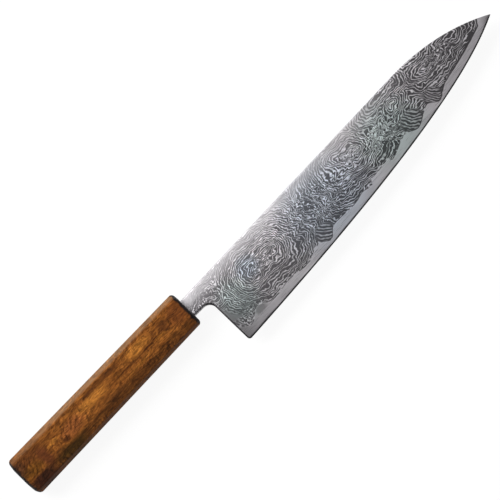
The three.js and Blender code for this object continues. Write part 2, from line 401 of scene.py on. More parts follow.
def remap(tree, value, low, high, to_low=0.0, to_high=1.0, kind="LINEAR"):
    """Takes the range from low to high to another range, and holds its ends outside."""
    made = add(tree, "MapRange", {0: value, 1: low, 2: high, 3: to_low, 4: to_high}, interpolation_type=kind)
    return made.outputs[0]


def noise_node(tree, place_mm, sizes_mm, detail):
    """Noise whose lumps have about these sizes along X, Y and Z."""
    stretch = add(tree, "Mapping", {"Vector": place_mm, "Scale": [1 / size for size in sizes_mm]})
    return add(tree, "TexNoise", {"Vector": stretch.outputs[0], "Scale": 1.0, "Detail": detail})


def noise(tree, place_mm, sizes_mm, detail=2.0):
    return noise_node(tree, place_mm, sizes_mm, detail).outputs[0]


NOISE_SPAN = (0.3, 0.7)
NOISE_MIDDLE = (0.5, 0.5, 0.5)


def from_noise(tree, value, to_low=0.0, to_high=1.0):
    """Takes the span that noise mostly fills to another range."""
    return remap(tree, value, *NOISE_SPAN, to_low, to_high)


def warp(tree, at, sizes_mm, reach, detail=1.0):
    """Moves places about by noise, up to some reach in millimetres."""
    lumps = noise_node(tree, at, sizes_mm, detail).outputs["Color"]
    shift = scaled(tree, vector_calc(tree, "SUBTRACT", lumps, NOISE_MIDDLE), reach)
    return vector_calc(tree, "ADD", at, shift)


def oval_distance(tree, at, x, y, half_x, half_y, slit=0):
    """Distance from a middle, or from a slit along X there, counted in half sizes of an oval."""
    off = vector_calc(tree, "ABSOLUTE", vector_calc(tree, "SUBTRACT", at, (x, y, 0)))
    off = vector_calc(tree, "MAXIMUM", vector_calc(tree, "SUBTRACT", off, (slit, 0, 0)))
    return length_of(tree, vector_calc(tree, "MULTIPLY", off, (1 / half_x, 1 / half_y, 0)))


PATCH_FADE = (1, 0.3)


def patches(tree, at, ovals):
    """Softly rounded patches, each with middle and half sizes: one in their middles, nothing outside."""
    total = 0.0
    for oval in ovals:
        patch = remap(tree, oval_distance(tree, at, *oval), *PATCH_FADE, kind="SMOOTHSTEP")
        total = calc(tree, "MAXIMUM", patch, total)
    return total


def new_finish(name):
    """An empty material: its tree, its shader and Object coordinates in millimetres."""
    finish = bpy.data.materials.new(name)
    finish.use_nodes = True
    tree = finish.node_tree
    shader = tree.nodes["Principled BSDF"]
    in_mm = scaled(tree, add(tree, "TexCoord").outputs["Object"], 1 / MM)
    return finish, tree, shader, in_mm


def from_front(tree, at_mm):
    """Places counted from the middle of the handle's front face, as the sizes are."""
    return vector_calc(tree, "SUBTRACT", at_mm, (FRONT_X / MM, AXIS_Y / MM, MIDDLE_Z / MM))


def relief(tree, shader, height, depth_mm):
    bump = add(tree, "Bump", {"Height": height, "Distance": depth_mm * MM, "Strength": 1.0})
    tree.links.new(bump.outputs[0], shader.inputs["Normal"])


# Painted reflection of the room's dark side on the honed bevel and rubbed rims: its colour, and how the rim
# mark fades into it
RIM_REFLECTION_COLOUR = (0.035, 0.033, 0.035, 1)
RIM_REFLECTION_FADE = (0.15, 0.4, 0, 0.95)


def paint_rim_reflection(tree, colour):
    """Painted reflection: darkens the honed bevel and the rubbed edges, for the dark side of the room that
    they mirror.
    """
    rim = add(tree, "Attribute", attribute_name="rim").outputs["Fac"]
    return blend(tree, remap(tree, rim, *RIM_REFLECTION_FADE), colour, RIM_REFLECTION_COLOUR)


BLUE_CAST = (0.90, 1, 1.07, 1)
GREEN_CAST = (0.87, 1, 0.96, 1)
BLUE_PATCHES = [(103, -18, 46, 32), (42.5, -10, 11, 10)]
GREEN_PATCHES = [(160, -17, 32, 28), (25, -19.5, 18, 19)]


def etch_cast(tree, at, colour):
    """The thin film that the etch leaves on the steel has a blue or green cast in places."""
    for ovals, cast in ((BLUE_PATCHES, BLUE_CAST), (GREEN_PATCHES, GREEN_CAST)):
        tinted = add(tree, "Mix", {0: 1.0, 6: colour, 7: cast}, data_type="RGBA", blend_type="MULTIPLY")
        colour = blend(tree, patches(tree, at, ovals), colour, tinted.outputs[2])
    return colour


# Painted shade on the bare steel: length and strength from the heel and at the tip; and a darker patch
HEEL_SHADES = [(40, 0.42), (22, 0.72)]
TIP_SHADE_LENGTH = 8
TIP_SHADE = 0.75
DARKER_BARE_PATCH = (30.5, -32.8, 7.5, 4.5)
DARKER_BARE_STRENGTH = 0.7
DARKER_BARE_SIZES = (4, 3, 3)
DARKER_BARE_REACH = 3


def bare_shade(tree, at):
    """How dark the bare steel is painted: painted shade towards the heel and at the tip, and the darker
    patch.
    """
    x, _, _ = split(tree, at)
    shade = remap(tree, x, TIP_X - TIP_SHADE_LENGTH, TIP_X, 0, TIP_SHADE)
    for length, strength in HEEL_SHADES:
        shade = calc(tree, "MAXIMUM", shade, remap(tree, x, HEEL_X, HEEL_X + length, strength, 0))
    darker_patch = patches(tree, warp(tree, at, DARKER_BARE_SIZES, DARKER_BARE_REACH), [DARKER_BARE_PATCH])
    return calc(tree, "MAXIMUM", shade, calc(tree, "MULTIPLY", darker_patch, DARKER_BARE_STRENGTH))


BARE_DARK = (0.63, 0.60, 0.63, 1)
BARE_LIGHT = (0.80, 0.77, 0.80, 1)
BARE_SHADE = (0.15, 0.145, 0.15, 1)
CLOUD_SIZES = (22, 9, 9)
SCRATCH_SIZES = (14, 0.35, 0.35)
SCRATCH_SHARE = 0.3
SCRATCH_ROUGHNESS = (0.26, 0.36)
SCRATCH_DEPTH = 0.0012


def satin_steel():
    """Bare steel, cloudy, with fine scratches along the edge."""
    finish, tree, shader, at_mm = new_finish("satin core steel")
    at = from_front(tree, at_mm)
    cloud = noise(tree, at_mm, CLOUD_SIZES, detail=3)
    scratch = noise(tree, at_mm, SCRATCH_SIZES)
    tone = between(tree, SCRATCH_SHARE, cloud, scratch)
    colour = blend(tree, from_noise(tree, tone), BARE_DARK, BARE_LIGHT)
    # Painted shade on the bare steel towards the heel and at the tip, and a darker patch
    colour = blend(tree, bare_shade(tree, at), colour, BARE_SHADE)
    colour = paint_rim_reflection(tree, etch_cast(tree, at, colour))
    tree.links.new(colour, shader.inputs["Base Color"])
    tree.links.new(from_noise(tree, scratch, *SCRATCH_ROUGHNESS), shader.inputs["Roughness"])
    shader.inputs["Metallic"].default_value = 1
    relief(tree, shader, scratch, SCRATCH_DEPTH)
    return finish


core.data.materials.append(satin_steel())
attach(core, "root")
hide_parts("core_steel")

# Claddings
# Two sheets of many-layered soft steel welded to the core. Pressed dimples ground flat give the eyes of
# the pattern, and the acid etch darkens one of its two steels; faces are crowned and spine corners rubbed.

GROUND_ROWS = 30
FLAT_ROWS = 24
LAST_ROW = GROUND_ROWS + FLAT_ROWS
CORNER_ROWS = 4
CORNER_WIDTH = 0.6
CORNER_CUT = 0.35
CROWN_SHARE = 0.5
CROWN_CUT = 0.24
# Share of the painted rim reflection that the neck's rim keeps
NECK_RIM_SHADE = 0.25
NECK_ABOVE_WELD = 20


def cladding_height(column, row):
    """Height of a row: from the weld line to the grind line, then to the spine and over its rubbed corner."""
    if row <= GROUND_ROWS:
        return column.grind if column.neck else mix(column.line, column.grind, row / GROUND_ROWS)
    corner = min(CORNER_WIDTH, (column.spine - column.grind) / CORNER_ROWS)
    if row >= LAST_ROW - CORNER_ROWS:
        return column.spine - corner * (1 - math.cos(QUARTER_TURN * (LAST_ROW - row) / CORNER_ROWS))
    return mix(column.grind, column.spine - corner, (row - GROUND_ROWS) / (FLAT_ROWS - CORNER_ROWS))


def cladding_row(column, row):
    """A point of the face on the core, and the outer half thickness after crowning and rubbing."""
    y = cladding_height(column, row)
    inner, below, flat = column.inner(y), column.spine - y, column.spine - column.grind
    crown = max(0, 1 - below / (CROWN_SHARE * flat)) if flat > 0 else 0
    turn = max(0, 1 - below / CORNER_WIDTH)
    eased = CROWN_CUT * crown ** 2 + CORNER_CUT * (1 - math.sqrt(1 - turn ** 2))
    rim = column.rubbed(y)
    kept = (1 - RIM_CUT * rim) * (1 - eased * smooth(column.x, 0, RIM_START))
    above = y - (column.grind - NECK_ABOVE_WELD if column.neck else column.line)
    # Painted reflection on the rubbed rim, weaker on the neck
    dark = rim * mix(NECK_RIM_SHADE, 1, smooth(column.x, CHOIL_X, HEEL_X))
    return y, inner, {"upper": mix(inner, column.ground(y), kept), "above": above, "rim": dark}


def cladding(name, side):
    """The sheet on the right side of the core, or its mirror image on the left."""
    bm = start_net()
    net(bm, blade_columns + bare_columns[:1], range(LAST_ROW + 1), cladding_row)
    net(bm, neck_columns, range(GROUND_ROWS, LAST_ROW + 1), cladding_row)
    thicken(bm)
    if side < 0:
        bmesh.ops.scale(bm, vec=(1, 1, -1), verts=bm.verts[:], space=Matrix.Translation((0, 0, -MIDDLE_Z)))
        bmesh.ops.reverse_faces(bm, faces=bm.faces[:])
    return finish_mesh(bm, name, crease_degrees=30)


# Places where the layers were folded hard: middle, half sizes
FOLDS = [(97, -14, 32, 15), (158, -13, 18, 12), (11, -7, 15, 10), (50, -14, 13, 7), (212, -4, 20, 6),
         (28, -30, 16, 8), (133, -8, 9, 5)]
# How the forging moved the layers: sizes of the lumps, reach, and reach in the folds
BROAD_SIZES = (26, 18, 18)
BROAD_REACH = 13
FOLDING = [((5.2, 3.8, 3.8), 3.6, 7), ((2.2, 1.6, 1.6), 0.9, 3.0), ((1.1, 0.8, 0.8), 0.2, 1.1)]


def forged(tree, at):
    """Places in the layers as they were before they were forged out."""
    folded = patches(tree, at, FOLDS)
    moved = warp(tree, at, BROAD_SIZES, BROAD_REACH)
    for sizes, reach, fold_reach in FOLDING:
        moved = warp(tree, moved, sizes, remap(tree, folded, 0, 1, reach, fold_reach))
    return moved


# Eyes of the pattern, rings round a slit: its middle, half length, ring pitch along X and Y, first layer
RIGHT_EYES = [
    (51.6, -13.9, 8, 1.4, 1.25, 0.7), (132.3, -6.8, 5, 1.5, 1.3, 1.45), (205.9, -3.9, 6, 1.75, 1.3, 0.7),
    (172.1, 3.8, 9, 1.75, 1.35, 1), (223.2, -0.8, 4, 1.7, 1.25, 1), (171.8, -6.9, 2, 1.4, 1.25, 2.5),
    (13, -7.5, 3, 1.3, 1.15, 11)]
LEFT_EYES = [
    (24, -8, 3, 1.4, 1.25, 0.7), (92, -10, 8, 1.4, 1.25, 0.7), (160, -6, 5, 1.5, 1.3, 0.7),
    (126, 5, 8, 1.6, 1.3, 2), (212, -3, 6, 1.75, 1.3, 0.7)]
MOST_LAYERS = 100.0
EYE_MERGE = 1.0
UNEVEN_SIZES = (3, 2.2, 2.2)


def count_layers(tree, at, moved, eyes):
    """Layers counted out from the nearest eye, unevenly, with soft joins between the eyes."""
    layers = MOST_LAYERS
    for x, y, slit, pitch_x, pitch_y, start in eyes:
        away = oval_distance(tree, moved, x, y, pitch_x, pitch_y, slit)
        layers = calc(tree, "SMOOTH_MIN", layers, calc(tree, "ADD", away, start), EYE_MERGE)
    return calc(tree, "ADD", layers, noise(tree, at, UNEVEN_SIZES, detail=1))


# Plugs of coarse layers at the weld line: middle, half sizes, middle and pitch of their rings
PLUGS = [((89.7, -29.4, 6.2, 5.6), (100.5, -19.5), 2.0), ((174, -20.6, 7.5, 6.5), (184, -12), 1.9),
         ((193.2, -19.5, 6, 5.5), (203.5, -10.5), 1.4)]
PLUG_SIZES = (5, 4, 4)
PLUG_REACH = 3
PLUG_FADE = (1.05, 0.95)
BORDER_INSIDE = (0.78, 0.92)
BORDER_OUTSIDE = (1.2, 1.02)


def set_plugs(tree, at, layers):
    """Puts the plugs' own rings among the layers; says also where the plugs and their borders are."""
    plug, border = 0.0, 0.0
    gentle = warp(tree, at, PLUG_SIZES, PLUG_REACH)
    for oval, middle, pitch in PLUGS:
        off = oval_distance(tree, at, *oval)
        inside = remap(tree, off, *PLUG_FADE)
        around = calc(tree, "MULTIPLY", remap(tree, off, *BORDER_INSIDE), remap(tree, off, *BORDER_OUTSIDE))
        layers = between(tree, inside, layers, oval_distance(tree, gentle, *middle, pitch, pitch))
        plug = calc(tree, "MAXIMUM", plug, inside)
        border = calc(tree, "MAXIMUM", border, around)
    return layers, plug, border


# Bright steel in a layer: its weight changes from layer to layer, slowly along the layer, and in patches
WEIGHT_SCALE = 0.8
WEIGHT_DRIFT = 0.1
LAYER_WEIGHTS = (-0.98, 0.2)
PLUG_WEIGHT = -0.15
LIGHT_PATCHES = [(148, -3, 40, 24), (72, 0, 17, 9)]
LIGHT_WEIGHT = 0.45
DARK_PATCHES = [(7, -6, 13, 5), (30, -26, 14, 9), (98, -24, 20, 8)]
DARK_WEIGHT = -0.2


def layer_wave(tree, at, layers, plug):
    """Bright and dark layers in turn, one wave for each pair, lifted by the weight of the bright one."""
    x, y, _ = split(tree, at)
    by_layer = add(tree, "CombineXYZ", {0: layers, 1: calc(tree, "MULTIPLY", x, WEIGHT_DRIFT),
                                        2: calc(tree, "MULTIPLY", y, WEIGHT_DRIFT)}).outputs[0]
    weight = add(tree, "TexNoise", {"Vector": by_layer, "Scale": WEIGHT_SCALE, "Detail": 2.0}).outputs[0]
    weight = between(tree, plug, from_noise(tree, weight, *LAYER_WEIGHTS), PLUG_WEIGHT)
    weight = calc(tree, "MULTIPLY_ADD", patches(tree, at, LIGHT_PATCHES), LIGHT_WEIGHT, weight)
    weight = calc(tree, "MULTIPLY_ADD", patches(tree, at, DARK_PATCHES), DARK_WEIGHT, weight)
    return calc(tree, "ADD", calc(tree, "SINE", calc(tree, "MULTIPLY", layers, 2 * math.pi)), weight)


# Shadow over the weld line: where it starts, its strength, and its top, which rises along the blade
SHADOW_START = 0.2
SHADOW_STRENGTH = 1.2
SHADOW_TOP = (185, 215, 0.9, 2.0)
WAVE_TO_BRIGHT = (-0.25, 0.5)
BROKEN_SIZES = (2.6, 1.7, 1.7)
BROKEN_LINES = (0.4, 1.25)
PLUG_BRIGHT = 0.6
BORDER_BRIGHT = 0.1
BORDER_HEIGHT = (2, 6.5, 1, 0.15)


def brightness(tree, at, above, wave, plug, border):
    """How bright the etched steel is, in lines that break up, duller in the plugs and dark round them."""
    x, _, _ = split(tree, at)
    shadow = remap(tree, above, SHADOW_START, remap(tree, x, *SHADOW_TOP), SHADOW_STRENGTH, 0)
    wave = calc(tree, "SUBTRACT", wave, shadow)
    bright = remap(tree, wave, *WAVE_TO_BRIGHT, kind="SMOOTHSTEP")
    broken = noise(tree, at, BROKEN_SIZES, detail=1)
    border = calc(tree, "MULTIPLY", border, remap(tree, above, *BORDER_HEIGHT))
    for factor in (from_noise(tree, broken, *BROKEN_LINES), remap(tree, plug, 0, 1, 1, PLUG_BRIGHT),
                   remap(tree, border, 0, 1, 1, BORDER_BRIGHT)):
        bright = calc(tree, "MULTIPLY", bright, factor)
    return bright


# Painted haze of reflected light, which washes out the layers under the spine up to the drop of the tip and
# beside the handle; the contrast is also a little lower over the heel's half
FAINT_HEIGHT = (-9, 5, 0, 0.7)
FAINT_LENGTH = (130, 200, 1, 0)
FAINT_FROM_HEEL = (30, 150, 0.1, 0)
HAZE_LENGTH = (4, 26, 0.95, 0)
HAZE_HEIGHT = (-3, 0.5)


def painted_haze_and_washout(tree, at):
    """How far the layers' contrast is washed out: by painted haze of reflected light, and a little over the
    heel's half.
    """
    x, y, _ = split(tree, at)
    faint = calc(tree, "MULTIPLY", remap(tree, y, *FAINT_HEIGHT, kind="SMOOTHSTEP"),
                 remap(tree, x, *FAINT_LENGTH, kind="SMOOTHSTEP"))
    haze = calc(tree, "MULTIPLY", remap(tree, x, *HAZE_LENGTH), remap(tree, y, *HAZE_HEIGHT))
    faint = calc(tree, "MAXIMUM", faint, remap(tree, x, *FAINT_FROM_HEEL))
    return calc(tree, "MAXIMUM", faint, haze)


# Ragged edge of the cladding: sizes of its teeth, and their height, which falls towards the tip
TOOTH_SIZES = (3.5, 1.4, 1.4)
TOOTH_NOISE = (0.5, 0.7)
TOOTH_HEIGHT = (175, 205, 1.8, 0.2)
TOOTH_FADE = 0.25


def ragged_edge(tree, at, above, plug):
    """Where the cladding has feathered out to plain steel at the weld line, other than at the plugs."""
    x, _, _ = split(tree, at)
    reach = calc(tree, "MULTIPLY", remap(tree, x, *TOOTH_HEIGHT), remap(tree, plug, 0, 1, 1, 0))
    teeth = remap(tree, noise(tree, at, TOOTH_SIZES), *TOOTH_NOISE, 0, reach)
    return remap(tree, calc(tree, "SUBTRACT", above, teeth), 0, TOOTH_FADE, 1, 0)


CHOIL_SHADE_LENGTH = 9
CHOIL_SHADE = 0.5


def choil_shade(tree, at):
    """Shade on the face beside the choil's lower end."""
    x, y, _ = split(tree, at)
    shade = remap(tree, x, HEEL_X, HEEL_X + CHOIL_SHADE_LENGTH, CHOIL_SHADE, 0, kind="SMOOTHSTEP")
    return calc(tree, "MULTIPLY", shade, remap(tree, y, CHOIL_END, CHOIL_TOP, 1, 0))


DARK_STEEL = (0.088, 0.083, 0.088, 1)
BRIGHT_STEEL = (0.94, 0.905, 0.94, 1)
# Grey of the painted haze of reflected light that washes out the layers
WASHOUT_GREY = (0.395, 0.382, 0.395, 1)
PLAIN_STEEL = (0.30, 0.29, 0.30, 1)
WELD_STEEL = (0.68, 0.65, 0.68, 1)
PLAIN_PATCHES = [(14, -23.5, 5, 7.5), (31.5, -32.6, 6, 3)]
ETCH_ROUGHNESS = (0.40, 0.28)
ETCH_DEPTH = 0.004


def layered_steel(name, eyes):
    """Etched steel, whose layers run round the eyes."""
    finish, tree, shader, at_mm = new_finish(name)
    at = from_front(tree, at_mm)
    above = add(tree, "Attribute", attribute_name="above").outputs["Fac"]
    moved = forged(tree, at)
    layers, plug, border = set_plugs(tree, at, count_layers(tree, at, moved, eyes))
    bright = brightness(tree, at, above, layer_wave(tree, at, layers, plug), plug, border)
    colour = blend(tree, bright, DARK_STEEL, BRIGHT_STEEL)
    # Painted haze of reflected light washes out the layers under the spine and beside the handle
    colour = blend(tree, painted_haze_and_washout(tree, at), colour, WASHOUT_GREY)
    colour = blend(tree, patches(tree, moved, PLAIN_PATCHES), colour, PLAIN_STEEL)
    colour = blend(tree, ragged_edge(tree, at, above, plug), colour, WELD_STEEL)
    colour = etch_cast(tree, at, colour)
    colour = blend(tree, choil_shade(tree, at), colour, DARK_STEEL)
    tree.links.new(paint_rim_reflection(tree, colour), shader.inputs["Base Color"])
    tree.links.new(remap(tree, bright, 0, 1, *ETCH_ROUGHNESS), shader.inputs["Roughness"])
    shader.inputs["Metallic"].default_value = 1
    relief(tree, shader, bright, ETCH_DEPTH)
    return finish


for name, node, side, eyes in (("right_cladding_sheet", "right_cladding", 1, RIGHT_EYES),
                               ("left_cladding_sheet", "left_cladding", -1, LEFT_EYES)):
    piece = cladding(name, side)
    piece.data.materials.append(layered_steel("etched layered steel " + node, eyes))
    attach(piece, "root")
    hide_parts(node)

# Adhesive
# Dark epoxy that fills the socket round the tang. It is poured in before the tang and wiped flush with
# the handle's front face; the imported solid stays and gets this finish.

SPECKLE_SIZES = (1.2, 1.2, 1.2)
ADHESIVE_DARK = (0.012, 0.010, 0.008, 1)
ADHESIVE_LIGHT = (0.035, 0.028, 0.022, 1)
ADHESIVE_ROUGHNESS = (0.35, 0.55)


def cured_adhesive():
    """Dark and faintly speckled by its filler."""
    finish, tree, shader, at_mm = new_finish("dark cured adhesive")
    speckle = noise(tree, at_mm, SPECKLE_SIZES, detail=3)
    tree.links.new(blend(tree, speckle, ADHESIVE_DARK, ADHESIVE_LIGHT), shader.inputs["Base Color"])
    tree.links.new(from_noise(tree, speckle, *ADHESIVE_ROUGHNESS), shader.inputs["Roughness"])
    return finish


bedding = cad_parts["tang_bedding"]
bedding.data.materials.clear()
bedding.data.materials.append(cured_adhesive())

# Handle
# One block of figured brown hardwood, cut to eight facets that taper to the front, with eased corners,
# rounded end edges darkened by painted shade over their darker end grain, and an oil finish; a blind socket
# in the front takes the tang.

# Sizes across the facets as height and thickness, and the share of each that a slanted facet takes
HANDLE_LENGTH = 141.4
BUTT_SIZE = (25.9, 21)
FRONT_SIZE = (23.6, 19.3)
FACET = (0.185, 0.235)
CORNER_EASE = 0.9
CORNER_MARGIN = 1.5 * CORNER_EASE
CORNER_STEPS = 4
FACET_STEPS = 5


def handle_section(x, inset):
    """Eight-sided section with eased corners, as offsets from the axis."""
    along = -x / HANDLE_LENGTH
    height, thickness = (mix(front, butt, along) for front, butt in zip(FRONT_SIZE, BUTT_SIZE))
    y, z = height / 2 - inset, thickness / 2 - inset
    y_flat, z_flat = y - FACET[0] * height, z - FACET[1] * thickness
    corners = [Vector(corner) for corner in ((y, -z_flat), (y, z_flat), (y_flat, z), (-y_flat, z),
                                             (-y, z_flat), (-y, -z_flat), (-y_flat, -z), (y_flat, -z))]
    points = []
    for k, corner in enumerate(corners):
        next_corner = corners[(k + 1) % len(corners)]
        to_last = (corners[k - 1] - corner).normalized()
        to_next = (next_corner - corner).normalized()
        before, after = corner + to_last * CORNER_EASE, corner + to_next * CORNER_EASE
        points.append(corner + to_last * CORNER_MARGIN)
        for t in spread(0, 1, CORNER_STEPS) + [1]:
            points.append(before * (1 - t) ** 2 + corner * 2 * t * (1 - t) + after * t ** 2)
        points += spread(corner + to_next * CORNER_MARGIN, next_corner - to_next * CORNER_MARGIN, FACET_STEPS)
    return points


BEDDING = 0.8
SOCKET_SPARE = 5


def socket_section(tang, around):
    """The socket's outline, a slot with round ends, with one point towards each of the points around it."""
    radius = tang.half + BEDDING
    top, bottom = tang.spine + BEDDING - radius, tang.low - BEDDING + radius
    middle, reach = Vector(((top + bottom) / 2, 0)), (top - bottom) / 2
    points = []
    for point in around:
        way = (point - middle).normalized()
        up, out = abs(way.x), abs(way.y)
        if up * radius <= reach * out:
            away = radius / out
        else:
            away = up * reach + math.sqrt(radius ** 2 - (reach * out) ** 2)
        points.append(middle + way * away)
    return points


BUTT_ROUND = 3
FRONT_ROUND = 2.2
ROUND_STEPS = 8
ROUND_MARGIN = 1.4
LENGTH_STEPS = 48


def round_steps(size):
    """Depth and inset of the rings over a rounded end edge, from its flank to its face."""
    turns = spread(0, QUARTER_TURN, ROUND_STEPS) + [QUARTER_TURN]
    return [(size * (1 - math.sin(turn)), size * (1 - math.cos(turn))) for turn in turns]


flank_start = -HANDLE_LENGTH + BUTT_ROUND * ROUND_MARGIN
flank_end = -FRONT_ROUND * ROUND_MARGIN
rings = [(-HANDLE_LENGTH + depth, inset) for depth, inset in reversed(round_steps(BUTT_ROUND))]
rings += [(x, 0) for x in spread(flank_start, flank_end, LENGTH_STEPS) + [flank_end]]
rings += [(-depth, inset) for depth, inset in round_steps(FRONT_ROUND)]
sections = [(x, handle_section(x, inset)) for x, inset in rings]
_, front_points = sections[-1]
sections.append((0, socket_section(Column(0), front_points)))
sections.append((-TANG_LENGTH - SOCKET_SPARE, socket_section(Column(-TANG_LENGTH), front_points)))


def handle_block():
    """A face that is extruded from the butt through all sections to the front and down into the socket."""
    bm = bmesh.new()
    corner_number = bm.verts.layers.int.new("corner_number")
    made = bmesh.ops.create_circle(bm, cap_ends=True, segments=len(front_points), radius=1)
    for k, vert in enumerate(sorted(made["verts"], key=lambda v: math.atan2(v.co.y, v.co.x))):
        vert[corner_number] = k
    face = bm.faces[:][0]
    for k, (x, points) in enumerate(sections):
        if k:
            made = bmesh.ops.extrude_face_region(bm, geom=[face])
            if k > 1:
                bm.faces.remove(face)
            face = next(part for part in made["geom"] if isinstance(part, bmesh.types.BMFace))
        for vert in face.verts:
            vert.co = place(x, *points[vert[corner_number]])
    bmesh.ops.recalc_face_normals(bm, faces=bm.faces[:])
    return finish_mesh(bm, "octagonal_handle", crease_degrees=40)


handle = handle_block()

# Figure of the wood: colour, strength and its patches, each with middle and half sizes along X and Y
FIGURE = [
    ((0.10, 0.031, 0.008, 1), 0.8, [(-131, 4.5, 21, 8), (-76, 5, 11, 2.2), (-60, 5.6, 11, 2.4),
                                    (-17.5, 0, 6, 6)]),
    ((0.26, 0.080, 0.021, 1), 0.8, [(-97, -2.3, 13, 6.5)]),
    ((0.155, 0.046, 0.011, 1), 0.85, [(-5.5, -0.5, 11, 11)]),
    ((0.46, 0.170, 0.028, 1), 0.9, [(-78, 1, 16, 4.6), (-37.5, 2.8, 13, 4.2), (-112.5, 0.4, 7, 1.2)]),
    ((0.24, 0.085, 0.013, 1), 0.8, [(-44, -5.4, 14, 2), (-22, -3, 6, 2.6)]),
    ((0.118, 0.043, 0.006, 1), 0.9, [(-133, -3.5, 14, 5.5)]),
    ((0.050, 0.020, 0.009, 1), 0.75, [(-140.5, 3, 8, 9)]),
    ((0.12, 0.040, 0.009, 1), 0.8, [(-67, -7.2, 15, 2.2), (-114, -7.4, 7, 2.2)]),
    ((0.10, 0.027, 0.010, 1), 0.8, [(-121.5, -3, 5.5, 10)]),
    ((0.075, 0.022, 0.005, 1), 0.9, [(-48, -1.3, 13, 1.1), (-33, -1.8, 10, 1), (-105, -4.5, 4, 2.5)]),
    ((0.080, 0.040, 0.006, 1), 0.85, [(-106, -10.5, 17, 4.4)]),
    ((0.055, 0.017, 0.009, 1), 0.9, [(-131, -11, 14, 5)]),
]
WOOD_DARK = (0.15, 0.046, 0.0085, 1)
WOOD_LIGHT = (0.30, 0.103, 0.0185, 1)


def wood_figure(tree, streaky, mottle):
    """Mottled brown with the block's larger light and dark patches, drawn out into streaks."""
    base = blend(tree, from_noise(tree, mottle), WOOD_DARK, WOOD_LIGHT)
    for colour, strength, ovals in FIGURE:
        patch = calc(tree, "MULTIPLY", patches(tree, streaky, ovals), strength)
        base = blend(tree, patch, base, colour)
    return base


FIBRE_TONES = (0.5, 1.5)
CURL_SLANT = math.radians(35)
CURL_SIZES = (1.1, 5, 5)
CURLED_SIZES = (18, 7, 7)
CURLED_RANGE = (0.4, 0.6, 0.1, 0.6)


def grain_tone(tree, at, streaky, fibre):
    """Tone of the fibres, which curl in slanted ripples in some places more than in others."""
    slanted = add(tree, "Mapping", {"Vector": streaky, "Rotation": (0, 0, CURL_SLANT)}).outputs[0]
    curl = from_noise(tree, noise(tree, slanted, CURL_SIZES), -1, 1)
    curled = remap(tree, noise(tree, at, CURLED_SIZES, detail=1), *CURLED_RANGE)
    ripple = calc(tree, "MULTIPLY_ADD", curl, curled, 1)
    return calc(tree, "MULTIPLY", from_noise(tree, fibre, *FIBRE_TONES), ripple)


PORE_SIZES = (3.5, 0.4, 0.4)
PORE_RANGE = (0.60, 0.68, 0, 0.7)
PORE_COLOUR = (0.030, 0.011, 0.005, 1)


def open_pores(tree, at, base):
    """Short dark pores along the fibres."""
    pores = noise(tree, at, PORE_SIZES, detail=1)
    return blend(tree, remap(tree, pores, *PORE_RANGE), base, PORE_COLOUR)


# Painted sheen on the upper facets: where it starts, its fade, its uneven strength, its fall towards the butt
# and its colour
UPPER_FACET = FRONT_SIZE[0] * (0.5 - FACET[0])
FACET_SHEEN_FADE = 1.8
FACET_SHEEN_STRENGTH = (0.15, 0.4)
FACET_SHEEN_LENGTH = (-HANDLE_LENGTH, -100, 0.2, 1)
FACET_SHEEN_COLOUR = (0.56, 0.36, 0.20, 1)


def paint_facet_sheen(tree, at, mottle, base):
    """Painted sheen: the upper facets are made paler, unevenly, and less so at the butt."""
    along, up, _ = split(tree, at)
    facet_sheen = calc(tree, "MULTIPLY", remap(tree, up, UPPER_FACET, UPPER_FACET + FACET_SHEEN_FADE),
                from_noise(tree, mottle, *FACET_SHEEN_STRENGTH))
    facet_sheen = calc(tree, "MULTIPLY", facet_sheen, remap(tree, along, *FACET_SHEEN_LENGTH))
    return blend(tree, facet_sheen, base, FACET_SHEEN_COLOUR)


# Painted shade on the rounded end edges, over their darker end grain: sizes and reach of its uneven border,
# its fade and its colour
END_SHADE_SIZES = (4, 3, 3)
END_SHADE_REACH = 2.4
END_SHADE_FADE = (2.2, 3.6, 1, 0)
END_SHADE_COLOUR = (0.010, 0.008, 0.008, 1)


def paint_end_shade(tree, at, to_end, base):
    """Painted shade makes the rounded end edges nearly black, over their darker end grain, with an uneven
    border.
    """
    uneven = calc(tree, "MULTIPLY_ADD", noise(tree, at, END_SHADE_SIZES), END_SHADE_REACH, to_end)
    return blend(tree, remap(tree, uneven, *END_SHADE_FADE, kind="SMOOTHSTEP"), base, END_SHADE_COLOUR)


PITH = (0, -26, -14)
YEAR_PITCH = 1.7
YEAR_SIZES = (3, 3, 3)
YEAR_REACH = 2.0
END_FADE = (0.03, 0.3, 1, 0)
END_DARK = (0.022, 0.011, 0.006, 1)
END_LIGHT = (0.060, 0.026, 0.011, 1)


def end_grain(tree, at, to_end, base):
    """Year rings on both end faces, round a pith outside the block."""
    from_pith = vector_calc(tree, "MULTIPLY", vector_calc(tree, "SUBTRACT", at, PITH), (0, 1, 1))
    years = calc(tree, "MULTIPLY_ADD", noise(tree, at, YEAR_SIZES), YEAR_REACH, length_of(tree, from_pith))
    year_rings = calc(tree, "SINE", calc(tree, "MULTIPLY", years, 2 * math.pi / YEAR_PITCH))
    grain = blend(tree, remap(tree, year_rings, -1, 1), END_DARK, END_LIGHT)
    return blend(tree, remap(tree, to_end, *END_FADE), base, grain)


STREAK_SIZES = (13, 3, 3)
STREAK_REACH = 5
MOTTLE_SIZES = (7, 2, 2)
FIBRE_SIZES = (5, 0.7, 0.7)
FIBRE_ROUGHNESS = (0.45, 0.60)
FIBRE_DEPTH = 0.02
WOOD_SPECULAR = 0.001
WOOD_SHEEN = 0.2


